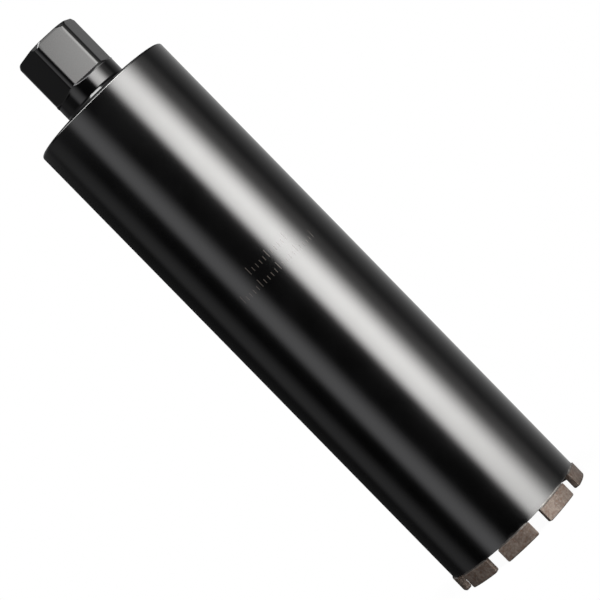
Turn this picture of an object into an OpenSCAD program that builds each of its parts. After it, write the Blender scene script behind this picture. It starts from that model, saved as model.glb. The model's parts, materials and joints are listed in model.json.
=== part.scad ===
// Diamond core bit for drilling round holes in concrete and masonry.
// A thin steel barrel is closed by a welded end cap with a hexagon hub on it.
// Diamond segments are brazed in a ring to the open end and form the crown.
// The bit stands on its crown: the segment tips lie on z = 0, +Z runs to the hub.

/* [Crown] */
// Diameter over the cutting segments, the size of the drilled hole
crown_d = 102; // [72:1:202]
// Number of segments around the crown
segment_count = 9; // [5:1:11]
// Length of a segment along its outer face
segment_l = 25.5; // [14:0.5:30]
// Thickness of a segment, the width of the cut
segment_t = 4; // [3.5:0.1:6]
// Height of a segment above its tip
segment_h = 9.7; // [5:0.1:14]
// How far a segment stands out past the barrel
segment_stand = 1; // [0.3:0.1:1.5]
// Chamfer along the edges of a segment
segment_chamfer = 0.4; // [0.1:0.1:0.8]
// Thickness of the braze between a segment and the barrel
braze_t = 0.3; // [0.1:0.05:0.6]
// How far the braze spreads past the barrel's wall on to the segment
braze_spread = 0.4; // [0.1:0.05:0.9]

/* [Barrel] */
// Length of the steel tube
barrel_l = 353; // [100:1:500]
// Wall thickness of the steel tube
barrel_wall = 2; // [1.5:0.1:2.4]

/* [End cap] */
// Thickness of the cap's flange, which closes the end of the barrel
flange_t = 5; // [4:0.5:12]
// Rounding of the flange's outer edge
flange_round = 1.8; // [0.5:0.1:2.5]
// Depth of the register that centres the cap inside the barrel
register_l = 4; // [2:0.5:10]
// Radial clearance of the register in the barrel, and of the spigot in the cap
seat_clearance = 0.05; // [0.02:0.01:0.15]
// Depth of the grooved weld seam between the cap and the barrel
seam_depth = 1.2; // [0.6:0.1:1.4]
// Width of that seam on the outside, where it is ground flush
seam_w = 1.8; // [1:0.1:2.6]

/* [Hub] */
// Width across the six wrench flats
hub_af = 41; // [38:0.5:55]
// How much of the hexagon's sharp corners is turned off, on the diameter
corner_trim = 1.75; // [1:0.05:3]
// Height of the hub above the end cap
hub_h = 49; // [42:0.5:80]
// Length of the wrench flats, measured down from the top face
flat_l = 33.4; // [20:0.1:38]
// Slope of the run-out at the lower end of each flat, measured from the axis
runout_a = 60; // [35:1:70]
// How much smaller the neck's radius is than the corners' radius
neck_step = 0.5; // [0.2:0.05:0.9]
// Radial width of the chamfer on the top corners
top_chamfer = 1.3; // [0.5:0.1:1.8]
// Slope of that chamfer, measured from the axis
top_chamfer_a = 30; // [20:1:60]
// Leg of the fillet weld that holds the hub to the end cap
weld_leg = 5.1; // [2:0.1:6.5]

/* [Thread] */
// Wall diameter of the threaded bore, before its thread is cut
bore_d = 28.2; // [16:0.1:30]
// Radial width of the countersink at each end of the bore
countersink = 2; // [0.5:0.1:2.5]
// Wall of the spigot that enters the end cap
spigot_wall = 4.4; // [3:0.1:5]

/* [Hidden] */
$fn = 96;
past = 1;                                    // how far a cutter runs past a face
pitch = 360 / segment_count;
first_a = -90 + pitch / 2;                   // a gap of the crown faces the front, -Y
crown_r = crown_d / 2;
barrel_r = crown_r - segment_stand;
inside_r = barrel_r - barrel_wall;
core_r = crown_r - segment_t;
barrel_z = segment_h + braze_t;
cap_z = barrel_z + barrel_l;
top_z = cap_z + flange_t;                    // top face of the cap, where the hub stands
segment_a = segment_l / crown_r * 180 / PI;
braze_a = (segment_l - 2 * segment_chamfer) / crown_r * 180 / PI;
outer_spread = min(braze_spread, segment_stand * 0.8);
inner_spread = min(braze_spread, (inside_r - core_r) * 0.8);
flange_edge = min(flange_round, flange_t - seam_w / 2 - 0.5);
hub_r = (hub_af / cos(30) - corner_trim) / 2;
neck_r = hub_r - neck_step;
neck_l = hub_h - flat_l - (neck_r - hub_af / 2) / tan(runout_a) - neck_step;
thread_r = bore_d / 2;
spigot_r = thread_r + spigot_wall;
spigot_l = flange_t + register_l;
weld_bow = 1.15;                             // centre of the weld's hollow face, in legs
weld_toe = 0.15;                             // thin edge that the hollow face ends in

SEGMENTS = [for (i = [1:segment_count]) str("segment_", i)];
BRAZES = [for (i = [1:segment_count]) str("braze_", i)];

// Turns an outline drawn in radius and height about the axis
module turned(a = 360) {
    rotate_extrude(angle = a) children();
}

// Section of the V groove between barrel and cap, pointing in from the barrel's face
module seam_section(extra = 0) {
    polygon([
        [barrel_r + extra, cap_z - seam_w / 2 * (1 + extra / seam_depth)],
        [barrel_r + extra, cap_z + seam_w / 2 * (1 + extra / seam_depth)],
        [barrel_r - seam_depth, cap_z]
    ]);
}

// Steel tube, bevelled at its upper end for the seam
module barrel() {
    color([0.05, 0.05, 0.055])
        turned() difference() {
            translate([inside_r, barrel_z]) square([barrel_wall, barrel_l]);
            seam_section(past);
        }
}

// Flanged disc that closes the barrel and carries the hub in its centre hole
module end_cap() {
    color([0.06, 0.06, 0.065])
        turned() difference() {
            union() {
                translate([0, cap_z]) square([barrel_r, flange_t]);
                translate([0, cap_z - register_l]) square([inside_r - seat_clearance, register_l + past]);
            }
            translate([0, cap_z - register_l - past])
                square([spigot_r + seat_clearance, spigot_l + 2 * past]);
            seam_section(past);
            translate([barrel_r - flange_edge, top_z - flange_edge]) difference() {
                square(flange_edge + past);
                circle(flange_edge);
            }
        }
}

// Weld metal that fills the seam, ground flush with the barrel
module cap_weld() {
    color([0.08, 0.08, 0.085])
        turned() seam_section();
}

// Outline of the hub as it leaves the lathe: spigot, neck, corners and top chamfer
module hub_outline() {
    chamfer_l = top_chamfer / tan(top_chamfer_a);
    polygon([
        [0, -spigot_l],
        [spigot_r, -spigot_l],
        [spigot_r, 0],
        [neck_r, 0],
        [neck_r, neck_l],
        [hub_r, neck_l + 2 * neck_step],
        [hub_r, hub_h - chamfer_l],
        [hub_r - top_chamfer, hub_h],
        [0, hub_h]
    ]);
}

// Cutter for one wrench flat, with the slope it leaves where it runs out
module flat_cutter() {
    flat_z = hub_h - flat_l;
    reach = hub_r + past - hub_af / 2;
    rotate([90, 0, 0]) linear_extrude(height = 2 * hub_r, center = true) polygon([
        [hub_af / 2, hub_h + past],
        [hub_af / 2, flat_z],
        [hub_af / 2 + reach, flat_z - reach / tan(runout_a)],
        [hub_af / 2 + reach, hub_h + past]
    ]);
}

// Bore through the hub and its spigot, countersunk at both ends
module hub_bore() {
    turned() polygon([
        [0, -spigot_l - past],
        [thread_r + countersink + past, -spigot_l - past],
        [thread_r, -spigot_l + countersink],
        [thread_r, hub_h - countersink],
        [thread_r + countersink + past, hub_h + past],
        [0, hub_h + past]
    ]);
}

// Hexagon hub that screws on to the drill's spindle
module hub() {
    color([0.12, 0.12, 0.125])
        translate([0, 0, top_z]) difference() {
            turned() hub_outline();
            for (i = [0:5]) rotate([0, 0, -90 + 60 * i]) flat_cutter();
            hub_bore();
        }
}

// Hollow fillet weld around the foot of the hub
module hub_weld() {
    bow = weld_bow * weld_leg;
    color([0.09, 0.09, 0.095])
        turned() translate([neck_r, top_z]) difference() {
            square(weld_leg);
            translate([bow, bow]) circle(norm([bow - weld_leg, bow - weld_toe]));
        }
}

// Section of a segment, with its cutting tip chamfered inside and out
module segment_section() {
    polygon([
        [core_r + segment_chamfer, 0],
        [crown_r - segment_chamfer, 0],
        [crown_r, segment_chamfer],
        [crown_r, segment_h],
        [core_r, segment_h],
        [core_r, segment_chamfer]
    ]);
}

// Cutter for the chamfer along one upright edge of a segment's end, at radius r
module edge_cutter(r) {
    side = segment_chamfer * sqrt(2);
    translate([r, 0, segment_h / 2]) rotate([0, 0, 45])
        cube([side, side, segment_h + 2 * past], center = true);
}

// One sintered diamond segment, centred on the X axis
module segment() {
    color([0.40, 0.34, 0.30])
        difference() {
            rotate([0, 0, -segment_a / 2]) turned(segment_a) segment_section();
            for (end = [-1, 1]) rotate([0, 0, end * segment_a / 2]) {
                edge_cutter(crown_r);
                edge_cutter(core_r);
            }
        }
}

// Braze that joins one segment to the barrel, spreading on to the segment
module braze() {
    color([0.62, 0.58, 0.52])
        rotate([0, 0, -braze_a / 2]) turned(braze_a) polygon([
            [inside_r - inner_spread, segment_h],
            [barrel_r + outer_spread, segment_h],
            [barrel_r, barrel_z],
            [inside_r, barrel_z]
        ]);
}

barrel();
end_cap();
cap_weld();
hub();
hub_weld();
for (i = [1:segment_count]) {
    rotate([0, 0, first_a + pitch * (i - 1)]) segment();
    rotate([0, 0, first_a + pitch * (i - 1)]) braze();
}
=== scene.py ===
"""Looks of a diamond core bit: black paint, sintered segments, braze, weld and spindle thread.

Everything is in metres, in the frame of the solids: +Z from the crown to the hub, with the
segment tips on z = 0 and one wrench flat facing -Y.
"""
import json
import math

import bpy
import numpy as np
from mathutils import Matrix, Vector


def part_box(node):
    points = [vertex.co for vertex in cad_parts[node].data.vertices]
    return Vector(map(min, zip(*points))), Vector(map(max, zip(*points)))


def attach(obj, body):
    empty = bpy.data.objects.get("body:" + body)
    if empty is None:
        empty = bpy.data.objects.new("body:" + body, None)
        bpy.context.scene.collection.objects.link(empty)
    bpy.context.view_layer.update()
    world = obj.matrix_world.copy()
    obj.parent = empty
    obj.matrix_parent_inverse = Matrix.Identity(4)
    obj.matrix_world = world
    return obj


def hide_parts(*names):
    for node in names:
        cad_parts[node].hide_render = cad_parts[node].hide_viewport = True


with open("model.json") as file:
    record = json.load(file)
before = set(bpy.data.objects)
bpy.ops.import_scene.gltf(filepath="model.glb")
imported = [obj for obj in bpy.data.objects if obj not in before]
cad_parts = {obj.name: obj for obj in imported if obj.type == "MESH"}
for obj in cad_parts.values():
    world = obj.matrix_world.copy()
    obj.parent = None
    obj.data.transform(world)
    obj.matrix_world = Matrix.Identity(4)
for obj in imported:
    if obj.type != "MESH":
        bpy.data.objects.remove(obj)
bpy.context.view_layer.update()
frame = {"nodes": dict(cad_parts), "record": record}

MM = 0.001

# Sizes that the solids give
MOUNTS = {mount["name"]: mount for mount in frame["record"]["mounts"]}
SEGMENTS = sorted(name for name in frame["nodes"] if name.startswith("segment_"))
BRAZES = sorted(name for name in frame["nodes"] if name.startswith("braze_"))
BARREL_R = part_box("barrel")[1].x
BARREL_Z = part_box("barrel")[0].z
CAP_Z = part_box("barrel")[1].z
REGISTER_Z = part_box("end_cap")[0].z          # the hub's spigot ends there too
TOP_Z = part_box("end_cap")[1].z
HUB_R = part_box("hub")[1].x
NECK_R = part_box("hub")[1].y                  # the neck reaches further out than the flats
HUB_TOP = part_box("hub")[1].z
FLAT_R = -MOUNTS["wrench_flat"]["pos_m"][1]
MINOR_R = MOUNTS["spindle_thread"]["dims"]["r_mm"] * MM
CROWN_R = max(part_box(name)[1].y for name in SEGMENTS)    # one of them faces +Y
SEGMENT_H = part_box(SEGMENTS[0])[1].z
WELD_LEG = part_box("hub_weld")[1].z - TOP_Z
PITCH = 2 * math.pi / len(SEGMENTS)
FIRST_SEGMENT = -math.pi / 2 + PITCH / 2     # a gap of the crown faces -Y

# Barrel and end cap
WALL = 2 * MM
SEAM_DEPTH = 1.2 * MM
SEAM_HALF = 0.9 * MM
CAP_EDGE = 1.5 * MM
WELD_BOW = 1.02                              # centre of the weld's hollow face, in legs
# Painted rim highlight: a pale line below the cap's rounding, placed by the two values below
HIGHLIGHT_DROP = 0.15 * MM                        # how far the pale line lies below the rounding
HIGHLIGHT_CLIMB = 0.75                            # how the line climbs, in metres per square metre
SEAT_CLEARANCE = 0.05 * MM
EDGE_BREAK = 0.25 * MM                       # rounding of the other edges
ROUND_COLUMNS = 240
FLAT_SLACK = 0.001 * MM                      # a face this near to a flat top belongs to it

# Hub
SPIGOT_R = 18.5 * MM
NECK_TOP = TOP_Z + 13.48 * MM
CORNER_FOOT = NECK_TOP + 1.0 * MM
FLAT_END = HUB_TOP - 33.4 * MM
RUNOUT_SLOPE = math.tan(math.radians(48))    # radius gained per height below the flats
CHAMFER_W = 1.3 * MM
CHAMFER_H = 2.25 * MM
TOP_ROUND = 0.3 * MM
CORNER_BLEND = 0.5 * MM                      # softens the edges between flats and corners
FLAT_CROWN = 0.02 * MM                       # how far a flat bulges in its middle
TOP_EASE = 0.05 * MM                         # how far a flat eases back towards the top
TOP_EASE_REACH = 2.5 * MM                    # height over which it does so
EDGE_ROWS_REACH = 0.45 * MM                  # rows lie close together this near to an edge
RUNOUT_BLEND = 0.5 * MM                      # softens the edge where a flat runs out
TURNED_BLEND = 0.2 * MM
FLAT_END_BLEND = 0.08 * MM                   # softens the edge between a flat and its run-out

# Spindle thread, 1 1/4 inch with 7 threads to the inch
MAJOR_R = 31.75 / 2 * MM
THREAD_PITCH = 25.4 / 7 * MM
THREAD_STEPS = 60                            # steps in one turn
CREST_W = 0.31 * THREAD_PITCH
ROOT_W = 0.875 * THREAD_PITCH
COUNTERSINK = 0.9 * MM

# Segments and braze
SEGMENT_L = 25.5 * MM
SEGMENT_T = 4 * MM
SEGMENT_ROUND = 0.35 * MM
TIP_ROUND = 1.1 * MM                         # wear at the ends and the inside of a tip
SEGMENT_INSET = 0.1 * MM                     # the diamond grains stand this far out
SEGMENT_CELLS = (5, 26, 22)                  # across its thickness, along it and up it
GRAIN_R = 0.24 * MM
GRAIN_SIZES = (0.5, 0.95)                    # smallest and largest grain, in grain radii
GRAIN_SUNK = 0.55                            # how deep a grain sits, in grain radii
GRAINS_PER_M2 = 420_000
UPRIGHT_BELOW = 0.45                         # faces whose normal rises less than this get grains
BEAD_RISE = 0.7 * MM                         # how far the braze climbs the barrel's wall
BEAD_SPREAD = 0.6 * MM                       # how far it spreads over the segment's ledge

# Scale marks on the barrel: two rows, each with its count of ticks and its height
MARK_ROWS = (("upper_marks", 11, 228 * MM), ("lower_marks", 21, 218 * MM))
MARK_DEPTH = 0.03 * MM
MARK_W = 0.55 * MM
MARK_STEP = 3 * MM
MARK_SHORT = 3 * MM
MARK_LONG = 5.5 * MM

# Camera and studio. Azimuths are in degrees to the right of the camera, seen from above
CAMERA_TURN = math.radians(-12.6)
CAMERA_PLACE = Vector((1.4, -1353.8, 216.3)) * MM
CAMERA_DIP = 0.0146
CAMERA_ROLL = math.radians(44.4)
SENSOR_W = 36
FOCAL_PX = 2218.0
PHOTO_PX = 600
# side of the bit, near the camera's, where the painted rim highlight shows
HIGHLIGHT_SIDE = CAMERA_TURN - math.radians(4.5)
DULL_SIDE = CAMERA_TURN - math.radians(16.5)
DULL_HALF = math.radians(33.5)               # half the width of the cap edge's duller stretch
MARKS_SIDE = CAMERA_TURN + math.radians(7.5)
HUB_LAMP_PLACE = (6.3, 40.8, 0.5)            # azimuth, elevation and distance from the hub's foot
HUB_LAMP_SIZE = (0.35, 0.26)
HUB_LAMP_WATTS = 3.13
FLOOR_R = 0.13
FLOOR_SIDES = 96
FLOOR_FADE = (0.055, 0.12)                   # radii between which the floor fades to white
FLOOR_TINT = 0.045                           # grey on which the bit's shadow shows
FLOOR_GLOW = 0.965                           # white that the floor gives by itself
FLOOR_BOUNCE = 0.5                           # grey by which the floor lights the bit


# Mesh helpers

def new_object(name, data):
    """An object in the scene, for a mesh, a lamp or a camera."""
    made = bpy.data.objects.new(name, data)
    bpy.context.scene.collection.objects.link(made)
    return made


def new_mesh(name, points, faces):
    """A mesh through points and faces."""
    mesh = bpy.data.meshes.new(name)
    mesh.from_pydata([tuple(point) for point in points], [], [tuple(face) for face in faces])
    return mesh


def new_piece(name, points, faces):
    """A mesh object, with its place in its mesh."""
    mesh = new_mesh(name, points, faces)
    mesh.validate()
    return new_object(name, mesh)


def skin(name, rings):
    """Closed surface through rings of points: rows follow the outline, columns go round the axis."""
    rings = np.asarray(rings)
    rows, columns = rings.shape[:2]
    faces = []
    for row in range(rows):
        after = (row + 1) % rows
        for column in range(columns):
            beside = (column + 1) % columns
            faces.append((row * columns + column, row * columns + beside,
                          after * columns + beside, after * columns + column))
    return new_piece(name, rings.reshape(-1, 3), faces)


def lathe(name, outline):
    """Turns a closed outline of (radius, height) points, given anticlockwise, about the axis."""
    angles = np.linspace(0, 2 * math.pi, ROUND_COLUMNS, endpoint=False)
    rings = [np.stack([r * np.cos(angles), r * np.sin(angles), np.full(ROUND_COLUMNS, z)], axis=1)
             for r, z in outline]
    return skin(name, rings)


def rounded(corners, steps=6):
    """Outline through (radius, height, fillet) corners, with an arc where a fillet is given."""
    outline = []
    for i, (r, z, fillet) in enumerate(corners):
        here = Vector((r, z))
        if not fillet:
            outline.append(here)
            continue
        to_last = (Vector(corners[i - 1][:2]) - here).normalized()
        to_next = (Vector(corners[(i + 1) % len(corners)][:2]) - here).normalized()
        half = to_last.angle(to_next) / 2
        centre = here + (to_last + to_next).normalized() * fillet / math.sin(half)
        start = here + to_last * fillet / math.tan(half) - centre
        turn = math.pi - 2 * half
        if to_last.cross(to_next) > 0:
            turn = -turn
        for step in range(steps + 1):
            a = turn * step / steps
            outline.append(centre + Vector((start.x * math.cos(a) - start.y * math.sin(a),
                                            start.x * math.sin(a) + start.y * math.cos(a))))
    return outline


def facing(turn):
    """Level direction that is turned by an angle from the front, -Y."""
    return Vector((math.sin(turn), -math.cos(turn), 0))


def finish_piece(piece, nodes=(), material=None, sharp=40):
    """Gives a piece its finish, its smooth shading, its body and the nodes that it stands for."""
    mesh = piece.data
    if material:
        mesh.materials.clear()
        mesh.materials.append(material)
    mesh.shade_smooth()
    mesh.set_sharp_from_angle(angle=math.radians(sharp))
    weighting = piece.modifiers.new("Weighted normals", "WEIGHTED_NORMAL")
    weighting.keep_sharp = True
    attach(piece, "root")
    if nodes:
        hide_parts(*nodes)


def coat_faces(piece, material, picked):
    """Gives the faces that a test picks another finish."""
    piece.data.materials.append(material)
    for face in piece.data.polygons:
        if picked(face.center):
            face.material_index = 1


# Node helpers

def empty_tree(owner):
    """Gives a material or a world an empty tree."""
    owner.use_nodes = True
    owner.node_tree.nodes.clear()
    return owner.node_tree


def feed(tree, socket, value):
    """Sets a socket to a value, or links it to another socket."""
    if isinstance(value, bpy.types.NodeSocket):
        tree.links.new(value, socket)
    else:
        socket.default_value = value


def set_inputs(tree, node, values):
    """Sets or links several inputs of a node."""
    for key, value in values.items():
        feed(tree, node.inputs[key], value)


def add(tree, kind, values=None, **settings):
    """Adds a node, with its settings and with the values or links of its inputs."""
    node = tree.nodes.new(kind)
    for name, value in settings.items():
        setattr(node, name, value)
    set_inputs(tree, node, values or {})
    return node


def calc(tree, operation, *values):
    """Adds a Math node and gives its result."""
    node = add(tree, "ShaderNodeMath", operation=operation)
    for socket, value in zip(node.inputs, values):
        feed(tree, socket, value)
    return node.outputs[0]


def span(tree, value, low, high, start=0.0, end=1.0, smooth=True):
    """Maps a value from low..high to start..end, and holds it outside."""
    return add(tree, "ShaderNodeMapRange",
               {"Value": value, "From Min": low, "From Max": high, "To Min": start, "To Max": end},
               interpolation_type="SMOOTHSTEP" if smooth else "LINEAR").outputs[0]


def band(tree, value, start, full, ease, end):
    """Soft-edged band: it rises from start to full and falls from ease to end."""
    return calc(tree, "MULTIPLY", span(tree, value, start, full),
                span(tree, value, ease, end, 1.0, 0.0))


def height_of(tree, place):
    """Gives a place's height, or the upward part of a direction."""
    return add(tree, "ShaderNodeSeparateXYZ", {"Vector": place}).outputs["Z"]


def blend_value(tree, factor, first, second):
    """Mixes two values and gives the result."""
    return add(tree, "ShaderNodeMix", {0: factor, 2: first, 3: second}).outputs[0]


def blend_colour(tree, factor, first, second):
    """Mixes two colours and gives the result."""
    return add(tree, "ShaderNodeMix", {0: factor, 6: first, 7: second}, data_type="RGBA").outputs[2]


def noise(tree, place, scale, detail=3.0):
    """Adds a noise texture at a place and gives its value, from 0 to 1."""
    return add(tree, "ShaderNodeTexNoise",
               {"Vector": place, "Scale": scale, "Detail": detail, "Roughness": 0.55}).outputs[0]


def fine_relief(tree, height, strength, depth):
    """Turns a pattern into a fine relief and gives its normal."""
    return add(tree, "ShaderNodeBump",
               {"Height": height, "Strength": strength, "Distance": depth}).outputs[0]


def reach_along(tree, place, direction):
    """How far a place lies along a direction, from the axis of the bit."""
    return add(tree, "ShaderNodeVectorMath", {0: place, 1: direction},
               operation="DOT_PRODUCT").outputs["Value"]


def grey(level):
    """A colour without a hue."""
    return level, level, level, 1


def seen_directly(tree):
    """1 where the camera sees a surface itself or through something clear, and 0 elsewhere."""
    paths = add(tree, "ShaderNodeLightPath").outputs
    return calc(tree, "MAXIMUM", paths["Is Camera Ray"], paths["Is Transmission Ray"])


def new_group(name, kind, inputs, outputs):
    """A node group with named sockets, each given as (name, type, default)."""
    tree = bpy.data.node_groups.new(name, kind)
    for in_out, sockets in (("INPUT", inputs), ("OUTPUT", outputs)):
        for label, socket_type, default in sockets:
            socket = tree.interface.new_socket(label, in_out=in_out, socket_type=socket_type)
            if default is not None:
                socket.default_value = default
    return tree


def new_material(name):
    """A material with an empty tree, and its Principled BSDF joined to the output."""
    material = bpy.data.materials.new(name)
    tree = empty_tree(material)
    surface = add(tree, "ShaderNodeBsdfPrincipled")
    add(tree, "ShaderNodeOutputMaterial", {"Surface": surface.outputs[0]})
    return material, tree, surface


# Effects that more than one finish uses

def uneven_group():
    """Soft unevenness of a sprayed or sintered face: a mottle and a fine grain."""
    tree = new_group("Uneven face", "ShaderNodeTree",
                     [("Place", "NodeSocketVector", None),
                      ("Mottle Scale", "NodeSocketFloat", 60.0),
                      ("Grain Scale", "NodeSocketFloat", 1500.0)],
                     [("Mottle", "NodeSocketFloat", None), ("Grain", "NodeSocketFloat", None)])
    group_in = add(tree, "NodeGroupInput")
    mottle = noise(tree, group_in.outputs["Place"], group_in.outputs["Mottle Scale"], detail=4.0)
    grain = noise(tree, group_in.outputs["Place"], group_in.outputs["Grain Scale"], detail=2.0)
    add(tree, "NodeGroupOutput", {"Mottle": span(tree, mottle, 0.3, 0.7),
                                  "Grain": span(tree, grain, 0.25, 0.75, smooth=False)})
    return tree


UNEVEN = uneven_group()


def uneven(tree, mottle_scale, grain_scale):
    """Places the uneven face in a material and gives its place, mottle and grain."""
    place = add(tree, "ShaderNodeTexCoord").outputs["Object"]
    node = add(tree, "ShaderNodeGroup",
               {"Place": place, "Mottle Scale": mottle_scale, "Grain Scale": grain_scale},
               node_tree=UNEVEN)
    return place, node.outputs["Mottle"], node.outputs["Grain"]


# Finishes

PAINT_TINT = (0.0018, 0.0018, 0.0019)
HUB_TINT = (0.0010, 0.0010, 0.0011)
PAINT_ROUGHNESS = 0.17
PAINT_IOR = 1.75
SCORCH = (0.03, 0.028, 0.027, 1)
# colour of the painted rim highlight
RIM_HIGHLIGHT = (0.6, 0.6, 0.595, 1)
RUST = (0.13, 0.078, 0.056, 1)
PALE_PATCH = (0.27, 0.22, 0.185, 1)
PALE_GRAIN = (0.33, 0.26, 0.21, 1)
DARK_GRAIN = (0.05, 0.038, 0.03, 1)
# painted shade along the bottom edge of the segments
TIP_SHADE = (0.03, 0.025, 0.022, 1)

# Pairs of colours, for the dark and the light end of a mottle
SINTER_TINTS = ((0.131, 0.101, 0.084, 1), (0.197, 0.158, 0.133, 1))
CLEAN_BRAZE = ((0.13, 0.12, 0.11, 1), (0.34, 0.325, 0.305, 1))
BURNT_BRAZE = ((0.022, 0.02, 0.018, 1), (0.07, 0.062, 0.055, 1))
MARK_TINTS = ((0.030, 0.026, 0.023, 1), (0.046, 0.040, 0.035, 1))


def black_paint(name, tint, roughness, ior, marks_and_highlight=None, relief=0.04):
    """Semi-gloss black paint, a little uneven in gloss, changed here and there by heat marks and by
    painted highlights.
    """
    material, tree, surface = new_material(name)
    place, mottle, grain = uneven(tree, 45.0, 900.0)
    base = blend_colour(tree, mottle, [c * 0.85 for c in tint] + [1], [c * 1.15 for c in tint] + [1])
    gloss = span(tree, mottle, 0, 1, roughness - 0.01, roughness + 0.01, smooth=False)
    if marks_and_highlight:
        base, gloss = marks_and_highlight(tree, place, base, gloss)
    set_inputs(tree, surface, {"Base Color": base, "Roughness": gloss, "IOR": ior,
                               "Normal": fine_relief(tree, grain, relief, 0.05 * MM)})
    return material


def scorched_foot(tree, place, base, gloss):
    """Dull grey bloom that the brazing heat left here and there above the crown."""
    cloud = noise(tree, place, 60.0, detail=2.0)
    reach = span(tree, cloud, 0.45, 0.62, BARREL_Z + 0.8 * MM, BARREL_Z + 4 * MM, smooth=False)
    bloom = span(tree, height_of(tree, place), BARREL_Z, reach, 0.45, 0.0)
    return blend_colour(tree, bloom, base, SCORCH), blend_value(tree, bloom, gloss, 0.42)


def painted_rim_highlight(tree, place, base, gloss):
    """Painted highlight: a pale line just below the cap's rounding, on the side of the bit that faces
    the camera.
    """
    aside = reach_along(tree, place, facing(CAMERA_TURN + math.pi / 2))
    climb = calc(tree, "MULTIPLY", HIGHLIGHT_CLIMB, calc(tree, "MULTIPLY", aside, aside))
    above = calc(tree, "SUBTRACT", height_of(tree, place),
                 calc(tree, "ADD", climb, TOP_Z - CAP_EDGE - HIGHLIGHT_DROP))
    pale = band(tree, above, -0.15 * MM, -0.07 * MM, 0.04 * MM, 0.14 * MM)
    side = reach_along(tree, place, facing(HIGHLIGHT_SIDE))
    patchy = span(tree, noise(tree, place, 130.0), 0.3, 0.6, 0.8, 1.0)
    # where round the rim the painted highlight shows
    wear_and_highlight_amount = calc(tree, "MULTIPLY", span(tree, side, 0.75 * BARREL_R, 0.92 * BARREL_R), patchy)
    return blend_colour(tree, calc(tree, "MULTIPLY", pale, wear_and_highlight_amount), base, RIM_HIGHLIGHT), gloss


def sintered_metal():
    """Brown-grey sintered metal with rusty patches, pale and dark grains, and painted shade along the
    bottom of the tips.
    """
    material, tree, surface = new_material("Sintered segment")
    place, mottle, grain = uneven(tree, 190.0, 1500.0)
    patches = noise(tree, place, 560.0, detail=2.0)
    # painted shade: each segment is darkened below 0.75 mm, most at the bottom
    tip = span(tree, height_of(tree, place), 0.25 * MM, 0.75 * MM, 0.65, 0.0)
    spots = ((span(tree, patches, 0.5, 0.66, 0, 0.75), RUST),
             (span(tree, patches, 0.5, 0.34, 0, 0.5), PALE_PATCH),
             (span(tree, grain, 0.7, 1.0, 0, 0.7), PALE_GRAIN),
             (span(tree, grain, 0.3, 0.0, 0, 0.75), DARK_GRAIN),
             (tip, TIP_SHADE))
    base = blend_colour(tree, mottle, *SINTER_TINTS)
    for mask, colour in spots:
        base = blend_colour(tree, mask, base, colour)
    gloss = span(tree, mottle, 0, 1, 0.46, 0.54, smooth=False)
    set_inputs(tree, surface, {"Base Color": base, "Metallic": 0.4, "Roughness": gloss, "IOR": 1.4,
                               "Normal": fine_relief(tree, grain, 0.5, 0.1 * MM)})
    return material


def braze_metal():
    """Braze that is silvery where it ran clean and dark with burnt flux elsewhere."""
    material, tree, surface = new_material("Braze metal")
    place, mottle, grain = uneven(tree, 500.0, 3000.0)
    clean = span(tree, noise(tree, place, 55.0, detail=1.0), 0.47, 0.6)
    silver = blend_colour(tree, mottle, *CLEAN_BRAZE)
    burnt = blend_colour(tree, mottle, *BURNT_BRAZE)
    set_inputs(tree, surface, {"Base Color": blend_colour(tree, clean, burnt, silver),
                               "Metallic": calc(tree, "MULTIPLY", clean, 0.6),
                               "Roughness": span(tree, grain, 0, 1, 0.38, 0.55, smooth=False),
                               "Normal": fine_relief(tree, mottle, 0.4, 0.1 * MM)})
    return material


def mark_paint():
    """Faint brownish grey of the scale marks, a little duller than the paint round them."""
    material, tree, surface = new_material("Scale marks")
    _, mottle, grain = uneven(tree, 300.0, 2500.0)
    set_inputs(tree, surface, {"Base Color": blend_colour(tree, mottle, *MARK_TINTS),
                               "Roughness": span(tree, grain, 0, 1, 0.22, 0.28, smooth=False),
                               "IOR": PAINT_IOR})
    return material


BARREL_PAINT = black_paint("Black barrel paint", PAINT_TINT, PAINT_ROUGHNESS, PAINT_IOR, scorched_foot)
# The cap paint and the duller edge paint carry the painted rim highlight
CAP_PAINT = black_paint("Black cap paint", PAINT_TINT, PAINT_ROUGHNESS, PAINT_IOR, painted_rim_highlight)
EDGE_PAINT = black_paint("Dull edge paint with painted highlight", PAINT_TINT, roughness=0.24, ior=1.17, marks_and_highlight=painted_rim_highlight)
HUB_PAINT = black_paint("Black hub paint", HUB_TINT, roughness=0.13, ior=1.6, relief=0.006)
SINTER = sintered_metal()
BRAZE = braze_metal()
MARKS = mark_paint()


# Geometry Nodes helpers

def grow(name, tree, mesh=None, **values):
    """Runs a Geometry Nodes tree on a mesh and gives the result as a plain mesh object."""
    source = new_object(name, mesh or bpy.data.meshes.new(name))
    modifier = source.modifiers.new(tree.name, "NODES")
    modifier.node_group = tree
    sockets = {item.name: item.identifier for item in tree.interface.items_tree
               if item.item_type == "SOCKET" and item.in_out == "INPUT"}
    for label, value in values.items():
        modifier[sockets[label.replace("_", " ").title()]] = value
    bpy.context.view_layer.update()
    evaluated = source.evaluated_get(bpy.context.evaluated_depsgraph_get())
    plain = bpy.data.meshes.new_from_object(evaluated)
    source.modifiers.remove(modifier)
    source.data = plain
    return source


def ring_of_copies(tree, shape, count, first):
    """Copies a shape round the axis, the first one turned by an angle."""
    points = add(tree, "GeometryNodePoints", {"Count": count})
    index = add(tree, "GeometryNodeInputIndex").outputs[0]
    step = calc(tree, "DIVIDE", 2 * math.pi, count)
    turn = add(tree, "ShaderNodeCombineXYZ", {"Z": calc(tree, "MULTIPLY_ADD", index, step, first)})
    copies = add(tree, "GeometryNodeInstanceOnPoints",
                 {"Points": points.outputs[0], "Instance": shape, "Rotation": turn.outputs[0]})
    return add(tree, "GeometryNodeRealizeInstances", {"Geometry": copies.outputs[0]}).outputs[0]


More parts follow.
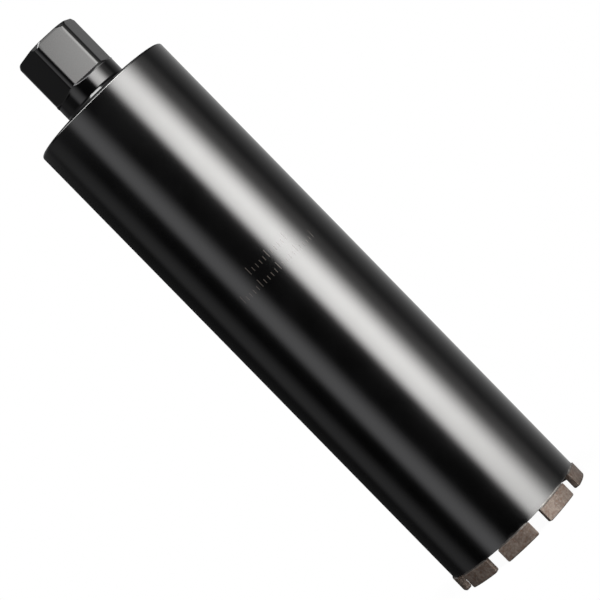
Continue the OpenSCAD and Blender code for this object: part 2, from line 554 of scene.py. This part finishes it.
def end_tree(tree, geometry, finish):
    """Ends a tree in a plain mesh with one finish."""
    plain = add(tree, "GeometryNodeRealizeInstances", {"Geometry": geometry})
    done = add(tree, "GeometryNodeSetMaterial", {"Geometry": plain.outputs[0], "Material": finish})
    add(tree, "NodeGroupOutput", {"Geometry": done.outputs[0]})
    return tree


# Barrel, end cap and welds

def make_barrel():
    """Steel tube, with broken edges at the crown and a bevel for the seam at the cap."""
    inside = BARREL_R - WALL
    corners = [(inside, BARREL_Z, EDGE_BREAK), (BARREL_R, BARREL_Z, EDGE_BREAK),
               (BARREL_R, CAP_Z - SEAM_HALF, 0), (BARREL_R - SEAM_DEPTH, CAP_Z, 0),
               (inside, CAP_Z, 0)]
    finish_piece(lathe("barrel_tube", rounded(corners)), ["barrel"], BARREL_PAINT)


def make_end_cap():
    """Disc with a register and a rounded edge, which is duller over a stretch of its way round."""
    inside = BARREL_R - WALL - SEAT_CLEARANCE
    hole = SPIGOT_R + SEAT_CLEARANCE
    corners = [(hole, REGISTER_Z, 0), (inside, REGISTER_Z, EDGE_BREAK), (inside, CAP_Z, 0),
               (BARREL_R - SEAM_DEPTH, CAP_Z, 0), (BARREL_R, CAP_Z + SEAM_HALF, 0),
               (BARREL_R, TOP_Z, CAP_EDGE), (hole, TOP_Z, 0)]
    cap = lathe("cap_disc", rounded(corners, 10))
    finish_piece(cap, ["end_cap"], CAP_PAINT)

    def in_dull_stretch(at):
        radius = math.hypot(at.x, at.y)
        return (TOP_Z - CAP_EDGE < at.z < TOP_Z - FLAT_SLACK and radius > BARREL_R - CAP_EDGE
                and at.dot(facing(DULL_SIDE)) > math.cos(DULL_HALF) * radius)

    coat_faces(cap, EDGE_PAINT, in_dull_stretch)


def make_cap_weld():
    """Weld ring that fills the groove between barrel and cap, ground flush."""
    corners = [(BARREL_R - SEAM_DEPTH, CAP_Z), (BARREL_R, CAP_Z - SEAM_HALF),
               (BARREL_R, CAP_Z + SEAM_HALF)]
    finish_piece(lathe("cap_seam", corners), ["cap_weld"], CAP_PAINT)


def make_hub_weld():
    """Fillet with a hollow face: an arc from the cap to the neck."""
    bow_centre = WELD_BOW * WELD_LEG
    bow_r = math.hypot(bow_centre, bow_centre - WELD_LEG)
    lean = math.atan2(bow_centre - WELD_LEG, bow_centre)
    steps = 16
    outline = [(NECK_R, TOP_Z)]
    for step in range(steps + 1):
        a = math.pi + math.pi / 2 - lean - (math.pi / 2 - 2 * lean) * step / steps
        outline.append((NECK_R + bow_centre + bow_r * math.cos(a),
                        TOP_Z + bow_centre + bow_r * math.sin(a)))
    finish_piece(lathe("hub_fillet", outline), ["hub_weld"], HUB_PAINT)


# Hub

def smooth_min(a, b, blend):
    """The smaller of two radii, with the edge where they meet rounded off."""
    overlap = np.clip(blend - np.abs(a - b), 0, None) / blend
    return np.minimum(a, b) - overlap ** 2 * blend / 4


def averaged(shape, z, reach):
    """A shape's values near z, averaged so that its corners are rounded."""
    return np.mean([shape(z + shift) for shift in np.linspace(-reach, reach, 9)], axis=0)


def turned_radius(z):
    """Radius that the lathe left, without the flats."""
    return np.interp(z, [NECK_TOP, CORNER_FOOT, HUB_TOP - CHAMFER_H, HUB_TOP],
                     [NECK_R, HUB_R, HUB_R, HUB_R - CHAMFER_W])


def flat_distance(z):
    """Distance of a flat from the axis: it slopes out below its end."""
    return FLAT_R + RUNOUT_SLOPE * np.maximum(FLAT_END - z, 0)


def hub_columns():
    """Angles round the hub from one flat's middle, closer together at the edges of the flats."""
    edge = math.degrees(math.acos(FLAT_R / HUB_R))
    # Each stretch has the angle where it ends, in degrees, and its number of cells
    side = [(16, 10), (edge - 1.5, 12), (edge + 1.5, 14), (30, 2)]
    half = [0]
    for end, cells in side:
        half += list(np.linspace(half[-1], end, cells + 1)[1:])
    sector = np.radians([-a for a in half[:0:-1]] + half[:-1])
    angles = np.concatenate([sector + math.radians(60) * turn for turn in range(6)])
    return angles - math.pi / 2, np.tile(sector, 6)


def hub_edges(from_flat):
    """Heights of each column's run-out edge and chamfer edge, where a flat meets the turned shape."""
    z = np.linspace(NECK_TOP, HUB_TOP, 4001)[:, None]
    cut = flat_distance(z) / np.cos(from_flat) < turned_radius(z)
    low = np.where(cut.any(axis=0), z[cut.argmax(axis=0), 0], FLAT_END)
    high = np.where(cut.any(axis=0), z[-1 - cut[::-1].argmax(axis=0), 0], HUB_TOP - CHAMFER_H)
    return low, high


def hub_heights(from_flat):
    """Rows of the hub's outside, which follow the edges of the flats round the hub."""
    low, high = hub_edges(from_flat)
    near = EDGE_ROWS_REACH
    top = HUB_TOP - TOP_ROUND
    low = np.minimum(low, FLAT_END - 0.06 * MM)
    high = np.minimum(high, top - 2 * near)
    level = np.ones_like(from_flat)
    round_rows = 7
    # Each stop has its height and the number of cells below it
    stops = [(TOP_Z, 0), (NECK_TOP - 0.4 * MM, 5), (low - near, 7), (low, 8), (FLAT_END, 14),
             (FLAT_END + 0.3 * MM, 5), (FLAT_END + 0.9 * MM, 3), (high - near, 12),
             (high + near, 18), (top, 6)]
    rows = [TOP_Z * level]
    for (start, _), (end, cells) in zip(stops, stops[1:]):
        rows += [(start + (end - start) * step / cells) * level for step in range(1, cells + 1)]
    return rows + [(top + TOP_ROUND * math.sin(math.pi / 2 * step / round_rows)) * level
                   for step in range(1, round_rows + 1)]


def hub_side(z, from_flat):
    """Radius of the hub's outside, where the flats cut into the turned shape."""
    round_off = np.clip((z - HUB_TOP) / TOP_ROUND + 1, 0, 1)
    drop = TOP_ROUND * (1 - np.sqrt(1 - round_off ** 2))
    turned = averaged(turned_radius, z, TURNED_BLEND) - drop
    ease = TOP_EASE * np.clip((z - HUB_TOP) / TOP_EASE_REACH + 1, 0, 1) ** 2
    middle = averaged(flat_distance, z, FLAT_END_BLEND) - drop - ease
    across = np.tan(from_flat) / math.tan(math.acos(FLAT_R / HUB_R))
    flat = (middle - FLAT_CROWN * across ** 2) / np.cos(from_flat)
    blend = np.interp(z, [FLAT_END - 0.5 * MM, FLAT_END + 1.5 * MM], [RUNOUT_BLEND, CORNER_BLEND])
    return smooth_min(turned, flat, blend)


def make_hub():
    """Hexagon hub in one closed skin: its foot and outside, its top face and the open bore."""
    angles, from_flat = hub_columns()
    even = np.ones_like(angles)
    foot = REGISTER_Z
    lead = COUNTERSINK
    rings = [((MAJOR_R + lead) * even, foot), (SPIGOT_R * even, foot), (SPIGOT_R * even, TOP_Z)]
    rings += [(hub_side(z, from_flat), z) for z in hub_heights(from_flat)]
    rings += [(r * even, HUB_TOP) for r in np.linspace(FLAT_R - 2 * TOP_ROUND, MAJOR_R + lead, 5)]
    rings += [(MAJOR_R * even, z) for z in np.linspace(HUB_TOP - lead, foot + lead, 12)]
    points = [np.stack([r * np.cos(angles), r * np.sin(angles), z * even], axis=1)
              for r, z in rings]
    hub = skin("hub_body", points)
    finish_piece(hub, ["hub"], HUB_PAINT, sharp=32)

    def in_top_rounding(at):
        return (HUB_TOP - TOP_ROUND < at.z < HUB_TOP - FLAT_SLACK
                and math.hypot(at.x, at.y) > FLAT_R - 2 * TOP_ROUND)

    coat_faces(hub, EDGE_PAINT, in_top_rounding)


def thread_tree():
    """Ridge of the spindle thread: a trapezium that follows a helix and fades out at its ends."""
    tree = new_group("Spindle thread", "GeometryNodeTree",
                     [("Radius", "NodeSocketFloat", 0.016), ("Height", "NodeSocketFloat", 0.05),
                      ("Turns", "NodeSocketFloat", 15.0), ("Steps", "NodeSocketInt", 60),
                      ("Depth", "NodeSocketFloat", 0.0018), ("Crest", "NodeSocketFloat", 0.001),
                      ("Root", "NodeSocketFloat", 0.003), ("Foot", "NodeSocketFloat", 0.0),
                      ("Finish", "NodeSocketMaterial", None)],
                     [("Geometry", "NodeSocketGeometry", None)])
    given = add(tree, "NodeGroupInput").outputs
    helix = add(tree, "GeometryNodeCurveSpiral",
                {"Resolution": given["Steps"], "Rotations": given["Turns"],
                 "Start Radius": given["Radius"], "End Radius": given["Radius"],
                 "Height": given["Height"]})
    upright = add(tree, "GeometryNodeSetCurveNormal", {"Curve": helix.outputs[0]}, mode="Z_UP")
    along = add(tree, "GeometryNodeSplineParameter").outputs["Factor"]
    from_end = calc(tree, "MINIMUM", along, calc(tree, "SUBTRACT", 1.0, along))
    fade = span(tree, calc(tree, "MULTIPLY", from_end, given["Turns"]), 0.0, 0.4, 0.12, 1.0)
    ridge = add(tree, "GeometryNodeCurvePrimitiveQuadrilateral",
                {"Height": given["Depth"], "Bottom Width": given["Root"],
                 "Top Width": given["Crest"], "Offset": 0.0}, mode="TRAPEZOID")
    shift = add(tree, "ShaderNodeCombineXYZ",
                {"Y": calc(tree, "MULTIPLY", given["Depth"], 0.5)})
    seated = add(tree, "GeometryNodeTransform",
                 {"Geometry": ridge.outputs[0], "Translation": shift.outputs[0]})
    turned = add(tree, "GeometryNodeTransform",
                 {"Geometry": seated.outputs[0], "Rotation": (0, 0, -math.pi / 2)})
    swept = add(tree, "GeometryNodeCurveToMesh",
                {"Curve": upright.outputs[0], "Profile Curve": turned.outputs[0], "Scale": fade,
                 "Fill Caps": True})
    lift = add(tree, "ShaderNodeCombineXYZ", {"Z": given["Foot"]})
    raised = add(tree, "GeometryNodeTransform",
                 {"Geometry": swept.outputs[0], "Translation": lift.outputs[0]})
    return end_tree(tree, raised.outputs[0], given["Finish"])


def make_thread():
    """Thread ridge in the hub's bore, with its root sunk a little into the wall."""
    inset = COUNTERSINK + 0.5 * MM
    height = HUB_TOP - REGISTER_Z - 2 * inset
    root_in_wall = 0.08 * MM
    thread = grow("spindle_thread", thread_tree(), radius=MAJOR_R + root_in_wall, height=height,
                  turns=height / THREAD_PITCH, steps=THREAD_STEPS,
                  depth=MAJOR_R + root_in_wall - MINOR_R, crest=CREST_W, root=ROOT_W,
                  foot=REGISTER_Z + inset, finish=HUB_PAINT)
    finish_piece(thread, sharp=25)


# Crown

def lattice(half, fillet, cells):
    """Positions along one side of a block, closer together in its rounded edges."""
    ease = fillet * np.tan(np.linspace(0, math.pi / 4, 4))
    flat = np.linspace(-half + fillet, half - fillet, cells + 1)
    return np.concatenate([-half + fillet - ease[:0:-1], flat, half - fillet + ease[1:]])


def rounded_block(size, fillet, cells):
    """Block with rounded edges, centred on the origin, as a list of points and faces."""
    lines = [lattice(side / 2, fillet, count) for side, count in zip(size, cells)]
    inner = np.array(size) / 2 - fillet
    number, points, faces = {}, [], []

    def point(key):
        if key not in number:
            raw = np.array([lines[axis][key[axis]] for axis in range(3)])
            core = np.clip(raw, -inner, inner)
            out = raw - core
            number[key] = len(points)
            points.append(core + out / np.linalg.norm(out) * fillet)
        return number[key]

    for axis in range(3):
        u, v = (axis + 1) % 3, (axis + 2) % 3
        for end in (0, len(lines[axis]) - 1):
            for i in range(len(lines[u]) - 1):
                for j in range(len(lines[v]) - 1):
                    face = []
                    for di, dj in ((0, 0), (1, 0), (1, 1), (0, 1)):
                        key = [0, 0, 0]
                        key[axis], key[u], key[v] = end, i + di, j + dj
                        face.append(point(tuple(key)))
                    faces.append(face if end else face[::-1])
    return np.array(points), faces


def one_segment():
    """A segment bent to the crown's circle, centred on the X axis."""
    size = (SEGMENT_T - 2 * SEGMENT_INSET, SEGMENT_L - 2 * SEGMENT_INSET, SEGMENT_H)
    points, faces = rounded_block(size, SEGMENT_ROUND, SEGMENT_CELLS)
    height = points[:, 2] + SEGMENT_H / 2
    wear_and_highlight_amount = TIP_ROUND - np.sqrt(TIP_ROUND ** 2 - np.clip(TIP_ROUND - height, 0, None) ** 2)
    inward = np.clip(size[0] / 2 - points[:, 0], 0, size[0]) / size[0]
    radius = CROWN_R - SEGMENT_T / 2 + points[:, 0] + wear_and_highlight_amount * inward
    turn = points[:, 1] * (1 - wear_and_highlight_amount / (SEGMENT_L / 2)) / CROWN_R
    bent = np.stack([radius * np.cos(turn), radius * np.sin(turn), height], axis=1)
    return new_mesh("one_segment", bent, faces)


def crown_tree():
    """Ring of segments with diamond grains scattered over their upright faces."""
    tree = new_group("Crown", "GeometryNodeTree",
                     [("Segment", "NodeSocketGeometry", None), ("Count", "NodeSocketInt", 9),
                      ("First", "NodeSocketFloat", 0.0), ("Density", "NodeSocketFloat", 1000.0),
                      ("Grain Radius", "NodeSocketFloat", 0.0002), ("Seed", "NodeSocketInt", 1),
                      ("Finish", "NodeSocketMaterial", None)],
                     [("Geometry", "NodeSocketGeometry", None)])
    given = add(tree, "NodeGroupInput").outputs
    ring = ring_of_copies(tree, given["Segment"], given["Count"], given["First"])
    bodies = add(tree, "GeometryNodeSetShadeSmooth", {"Geometry": ring}).outputs[0]
    rise = height_of(tree, add(tree, "GeometryNodeInputNormal").outputs[0])
    upright = calc(tree, "LESS_THAN", calc(tree, "ABSOLUTE", rise), UPRIGHT_BELOW)
    spots = add(tree, "GeometryNodeDistributePointsOnFaces",
                {"Mesh": bodies, "Selection": upright, "Density": given["Density"],
                 "Seed": given["Seed"]}, distribute_method="RANDOM")
    sunk = add(tree, "ShaderNodeVectorMath",
               {0: spots.outputs["Normal"],
                "Scale": calc(tree, "MULTIPLY", given["Grain Radius"], -GRAIN_SUNK)}, operation="SCALE")
    seated = add(tree, "GeometryNodeSetPosition",
                 {"Geometry": spots.outputs["Points"], "Offset": sunk.outputs[0]})
    grain = add(tree, "GeometryNodeMeshIcoSphere",
                {"Radius": given["Grain Radius"], "Subdivisions": 1})
    size = add(tree, "FunctionNodeRandomValue",
               {"Min": GRAIN_SIZES[0], "Max": GRAIN_SIZES[1], "Seed": given["Seed"]})
    turn = add(tree, "FunctionNodeRandomValue", {"Max": (math.tau,) * 3, "Seed": given["Seed"]},
               data_type="FLOAT_VECTOR")
    grains = add(tree, "GeometryNodeInstanceOnPoints",
                 {"Points": seated.outputs[0], "Instance": grain.outputs[0],
                  "Rotation": turn.outputs["Value"], "Scale": size.outputs["Value"]})
    both = add(tree, "GeometryNodeJoinGeometry")
    feed(tree, both.inputs[0], bodies)
    feed(tree, both.inputs[0], grains.outputs[0])
    return end_tree(tree, both.outputs[0], given["Finish"])


def make_crown():
    """All segments in one piece."""
    crown = grow("crown_segments", crown_tree(), one_segment(), count=len(SEGMENTS),
                 first=FIRST_SEGMENT, density=GRAINS_PER_M2, grain_radius=GRAIN_R, seed=7,
                 finish=SINTER)
    finish_piece(crown, SEGMENTS)


def one_bead():
    """Braze under and beside the barrel's wall over one segment, centred on the X axis."""
    outside, inside = BARREL_R, BARREL_R - WALL
    sunk = 0.1 * MM                          # how deep it reaches into the segment and the wall
    thinnest = 0.03 * MM
    rise = BARREL_Z + BEAD_RISE - SEGMENT_H
    face = [(BEAD_SPREAD * (1 - t) ** 2 + thinnest, SEGMENT_H + rise * t ** 2)
            for t in np.linspace(0, 1, 7)]
    foot = BEAD_SPREAD * 0.8
    outline = [(outside + foot, SEGMENT_H - sunk)]
    outline += [(outside + past, z) for past, z in face]
    outline += [(outside - sunk, BARREL_Z + sunk), (inside + sunk, BARREL_Z + sunk)]
    outline += [(inside - past, z) for past, z in reversed(face)]
    outline += [(inside - foot, SEGMENT_H - sunk)]
    steps = 48
    half = SEGMENT_L / 2 - 0.5 * MM
    middle = np.array([(outside + inside) / 2, SEGMENT_H])
    rings = []
    for step in range(steps + 1):
        t = 2 * step / steps - 1
        swell = max(1 - abs(t) ** 14, 0.12)
        turn = t * half / CROWN_R
        ring = [(middle + (np.array(point) - middle) * (1, swell)) for point in outline]
        rings.append([(r * math.cos(turn), r * math.sin(turn), z) for r, z in ring])
    size = len(outline)
    faces = [(i * size + j, (i + 1) * size + j, (i + 1) * size + (j + 1) % size,
              i * size + (j + 1) % size) for i in range(steps) for j in range(size)]
    faces += [tuple(range(size)), tuple(range(steps * size, steps * size + size))[::-1]]
    return new_mesh("one_bead", [point for ring in rings for point in ring], faces)


def braze_tree():
    """Ring of braze beads, each a little uneven."""
    tree = new_group("Braze beads", "GeometryNodeTree",
                     [("Bead", "NodeSocketGeometry", None), ("Count", "NodeSocketInt", 9),
                      ("First", "NodeSocketFloat", 0.0), ("Waviness", "NodeSocketFloat", 0.0002),
                      ("Wave Scale", "NodeSocketFloat", 300.0),
                      ("Finish", "NodeSocketMaterial", None)],
                     [("Geometry", "NodeSocketGeometry", None)])
    given = add(tree, "NodeGroupInput").outputs
    ring = ring_of_copies(tree, given["Bead"], given["Count"], given["First"])
    place = add(tree, "GeometryNodeInputPosition").outputs[0]
    waves = noise(tree, place, given["Wave Scale"], detail=2.0)
    rise = calc(tree, "MULTIPLY", calc(tree, "SUBTRACT", waves, 0.5), given["Waviness"])
    above = span(tree, height_of(tree, place), SEGMENT_H, BARREL_Z + BEAD_RISE)
    lift = add(tree, "ShaderNodeCombineXYZ", {"Z": calc(tree, "MULTIPLY", rise, above)})
    wavy = add(tree, "GeometryNodeSetPosition", {"Geometry": ring, "Offset": lift.outputs[0]})
    return end_tree(tree, wavy.outputs[0], given["Finish"])


def make_braze():
    """All braze joints in one piece."""
    beads = grow("braze_beads", braze_tree(), one_bead(), count=len(SEGMENTS),
                 first=FIRST_SEGMENT, waviness=0.5 * MM, wave_scale=350.0, finish=BRAZE)
    finish_piece(beads, BRAZES)


# Scale marks

def marks_tree():
    """Row of thin ticks along an arc of the barrel, every fifth one long."""
    tree = new_group("Scale marks", "GeometryNodeTree",
                     [("Count", "NodeSocketInt", 16), ("First", "NodeSocketFloat", 0.0),
                      ("Step", "NodeSocketFloat", 0.04), ("Radius", "NodeSocketFloat", 0.05),
                      ("Height", "NodeSocketFloat", 0.2), ("Width", "NodeSocketFloat", 0.0004),
                      ("Short", "NodeSocketFloat", 0.0025), ("Long", "NodeSocketFloat", 0.005),
                      ("Depth", "NodeSocketFloat", 0.00005),
                      ("Finish", "NodeSocketMaterial", None)],
                     [("Geometry", "NodeSocketGeometry", None)])
    given = add(tree, "NodeGroupInput").outputs
    index = add(tree, "GeometryNodeInputIndex").outputs[0]
    fifth = calc(tree, "COMPARE", calc(tree, "MODULO", index, 5.0), 0.0, 0.5)
    tall = calc(tree, "ADD", given["Short"],
                calc(tree, "MULTIPLY", fifth, calc(tree, "SUBTRACT", given["Long"], given["Short"])))
    angle = calc(tree, "MULTIPLY_ADD", index, given["Step"], given["First"])
    place = add(tree, "ShaderNodeCombineXYZ",
                {"X": calc(tree, "MULTIPLY", given["Radius"], calc(tree, "COSINE", angle)),
                 "Y": calc(tree, "MULTIPLY", given["Radius"], calc(tree, "SINE", angle)),
                 "Z": calc(tree, "MULTIPLY_ADD", tall, 0.5, given["Height"])})
    points = add(tree, "GeometryNodePoints", {"Count": given["Count"],
                                              "Position": place.outputs[0]})
    tick = add(tree, "GeometryNodeMeshCube", {"Size": (1, 1, 1), "Vertices X": 2,
                                              "Vertices Y": 2, "Vertices Z": 2})
    turn = add(tree, "ShaderNodeCombineXYZ", {"Z": angle})
    size = add(tree, "ShaderNodeCombineXYZ", {"X": calc(tree, "MULTIPLY", given["Depth"], 2.0),
                                              "Y": given["Width"], "Z": tall})
    ticks = add(tree, "GeometryNodeInstanceOnPoints",
                {"Points": points.outputs[0], "Instance": tick.outputs[0],
                 "Rotation": turn.outputs[0], "Scale": size.outputs[0]})
    return end_tree(tree, ticks.outputs[0], given["Finish"])


def make_marks():
    """Two rows of plain ticks, with their middles a little to the right of the camera."""
    tree = marks_tree()
    middle = -math.pi / 2 + MARKS_SIDE
    step = MARK_STEP / BARREL_R
    for name, count, height in MARK_ROWS:
        marks = grow(name, tree, count=count, first=middle - step * (count - 1) / 2, step=step,
                     radius=BARREL_R, height=height, width=MARK_W, short=MARK_SHORT,
                     long=MARK_LONG, depth=MARK_DEPTH, finish=MARKS)
        finish_piece(marks)


# Studio

WARM_WHITE = (1.0, 0.99, 0.975)
COOL_WHITE = (0.98, 0.98, 1.0)
PLAIN_WHITE = (1.0, 1.0, 1.0)

# Soft boxes of the studio: azimuth band, elevation band, colour and level. Each band has the
# degrees where it starts, is full, begins to fade and ends
KEY_LOW = ((15.5, 31, 45, 83), (-45, -25, 4, 18), WARM_WHITE, 4.75)
KEY_EDGE = ((15.5, 29, 45, 77), (-13.5, -3, 4, 18), WARM_WHITE, 3.1)
KEY_CENTRE = ((22, 43, 45, 77), (-13.5, -3, 4, 18), WARM_WHITE, 2.5)
KEY_SKIRT = ((58, 76, 80, 105), (-45, -25, 8, 22), WARM_WHITE, 0.45)
SIDE_FILL = ((48, 68, 100, 120), (-65, -50, -20, -13), WARM_WHITE, 2.6)
SIDE_STRIP = ((-63.5, -49, -44, -19), (-45, -25, 8, 22), COOL_WHITE, 0.88)
FAR_SIDE = ((-125, -107, -100, -78), (-45, -25, 5.5, 7.5), COOL_WHITE, 0.18)
FAR_LEFT = ((-180, -179, -130, -105), (-45, -25, 10, 25), COOL_WHITE, 0.025)
UPPER_LEFT = ((-180, -178, -60, -45), (6.3, 7.5, 25, 45), COOL_WHITE, 0.13)
BACK_LEFT = ((-180, -178, -135, -118), (6.3, 7.5, 25, 45), COOL_WHITE, 0.1)
BACK_LIGHT = ((85, 165, 179, 180), (-45, -25, 10, 25), PLAIN_WHITE, 0.52)
CEILING = ((-180, -179, 179, 180), (25, 60, 89, 90), PLAIN_WHITE, 0.1)
FRONT_CEILING = ((-130, -100, 100, 130), (25, 60, 89, 90), PLAIN_WHITE, 0.9)
SOFT_BOXES = (KEY_LOW, KEY_EDGE, KEY_CENTRE, KEY_SKIRT, SIDE_FILL, SIDE_STRIP, FAR_SIDE,
              FAR_LEFT, UPPER_LEFT, BACK_LEFT, BACK_LIGHT, CEILING, FRONT_CEILING)


def make_world():
    """Studio of soft boxes by direction, with plain white for what the camera sees itself.

    The black paint mirrors soft boxes and the dark between them, so its reflections see the
    studio and not the white.
    """
    world = bpy.data.worlds.new("Studio")
    bpy.context.scene.world = world
    tree = empty_tree(world)
    direction = add(tree, "ShaderNodeTexCoord").outputs["Generated"]
    turned = add(tree, "ShaderNodeVectorRotate", {"Vector": direction, "Angle": -CAMERA_TURN},
                 rotation_type="Z_AXIS")
    axes = add(tree, "ShaderNodeSeparateXYZ", {"Vector": turned.outputs[0]}).outputs
    to_degrees = 180 / math.pi
    azimuth = calc(tree, "MULTIPLY", to_degrees,
                   calc(tree, "ARCTAN2", axes["X"], calc(tree, "MULTIPLY", axes["Y"], -1.0)))
    elevation = calc(tree, "MULTIPLY", to_degrees, calc(tree, "ARCSINE", axes["Z"]))
    light = None
    for azimuths, elevations, colour, level in SOFT_BOXES:
        mask = calc(tree, "MULTIPLY", band(tree, azimuth, *azimuths),
                    band(tree, elevation, *elevations))
        glow = add(tree, "ShaderNodeVectorMath",
                   {0: [c * level for c in colour], "Scale": mask}, operation="SCALE").outputs[0]
        if light:
            glow = add(tree, "ShaderNodeVectorMath", {0: light, 1: glow}).outputs[0]
        light = glow
    studio = add(tree, "ShaderNodeBackground", {"Color": light})
    white = add(tree, "ShaderNodeBackground", {"Color": grey(1)})
    both = add(tree, "ShaderNodeMixShader",
               {0: seen_directly(tree), 1: studio.outputs[0], 2: white.outputs[0]})
    add(tree, "ShaderNodeOutputWorld", {"Surface": both.outputs[0]})


def in_studio(azimuth, elevation, distance, target):
    """Point at an azimuth and elevation, in degrees as the camera has them, from a target."""
    rise = math.radians(elevation)
    level = facing(math.radians(azimuth) + CAMERA_TURN)
    return target + (level * math.cos(rise) + Vector((0, 0, math.sin(rise)))) * distance


def make_hub_light():
    """Soft box above the camera, near the hub."""
    lamp = bpy.data.lights.new("Hub soft box", "AREA")
    lamp.shape = "RECTANGLE"
    lamp.size, lamp.size_y = HUB_LAMP_SIZE
    lamp.energy = HUB_LAMP_WATTS
    light = new_object("Hub soft box", lamp)
    target = Vector((0, 0, TOP_Z))
    light.location = in_studio(*HUB_LAMP_PLACE, target)
    light.rotation_euler = (target - light.location).to_track_quat("-Z", "Y").to_euler()


def make_floor():
    """Small pale disc under the crown, which fades into the white round it.

    The camera sees the disc with the bit's shadow. Reflections look through it into the studio.
    """
    turns = [math.tau * side / FLOOR_SIDES for side in range(FLOOR_SIDES)]
    points = [(0, 0, 0)] + [(FLOOR_R * math.cos(turn), FLOOR_R * math.sin(turn), 0) for turn in turns]
    faces = [(0, side + 1, (side + 1) % FLOOR_SIDES + 1) for side in range(FLOOR_SIDES)]
    floor = new_piece("floor", points, faces)
    material = bpy.data.materials.new("Pale floor")
    tree = empty_tree(material)
    place = add(tree, "ShaderNodeTexCoord").outputs["Object"]
    reach = add(tree, "ShaderNodeVectorMath", {0: place}, operation="LENGTH").outputs["Value"]
    fade = span(tree, reach, *FLOOR_FADE)
    pale = add(tree, "ShaderNodeBsdfDiffuse", {"Color": grey(FLOOR_TINT)})
    fill = add(tree, "ShaderNodeEmission", {"Color": grey(FLOOR_GLOW)})
    shaded = add(tree, "ShaderNodeAddShader", {0: pale.outputs[0], 1: fill.outputs[0]})
    white = add(tree, "ShaderNodeEmission", {"Color": grey(1)})
    soft = add(tree, "ShaderNodeMixShader", {0: fade, 1: shaded.outputs[0], 2: white.outputs[0]})
    plain = add(tree, "ShaderNodeBsdfDiffuse", {"Color": grey(FLOOR_BOUNCE)})
    clear = add(tree, "ShaderNodeBsdfTransparent")
    mirrored = add(tree, "ShaderNodeLightPath").outputs["Is Glossy Ray"]
    unseen = add(tree, "ShaderNodeMixShader",
                 {0: mirrored, 1: plain.outputs[0], 2: clear.outputs[0]})
    both = add(tree, "ShaderNodeMixShader",
               {0: seen_directly(tree), 1: unseen.outputs[0], 2: soft.outputs[0]})
    add(tree, "ShaderNodeOutputMaterial", {"Surface": both.outputs[0]})
    floor.data.materials.append(material)


def make_camera():
    """Camera at the photograph's angle, rolled so that the bit lies across the frame."""
    data = bpy.data.cameras.new("Camera")
    data.sensor_width = SENSOR_W
    data.lens = FOCAL_PX / PHOTO_PX * SENSOR_W
    camera = new_object("Camera", data)
    turn = Matrix.Rotation(CAMERA_TURN, 3, "Z")
    right = turn @ Vector((1, 0, 0))
    forward = turn @ Vector((0, math.cos(CAMERA_DIP), -math.sin(CAMERA_DIP)))
    up = right.cross(forward)
    cos_roll, sin_roll = math.cos(CAMERA_ROLL), math.sin(CAMERA_ROLL)
    across = right * cos_roll - up * sin_roll
    upward = right * sin_roll + up * cos_roll
    axes = Matrix((across, upward, -forward)).transposed()
    camera.matrix_world = Matrix.Translation(turn @ CAMERA_PLACE) @ axes.to_4x4()
    bpy.context.scene.camera = camera


make_camera()
make_world()
make_hub_light()
make_floor()
make_barrel()
make_end_cap()
make_cap_weld()
make_hub_weld()
make_hub()
make_thread()
make_crown()
make_braze()
make_marks()

bpy.context.scene.view_settings.view_transform = "Standard"
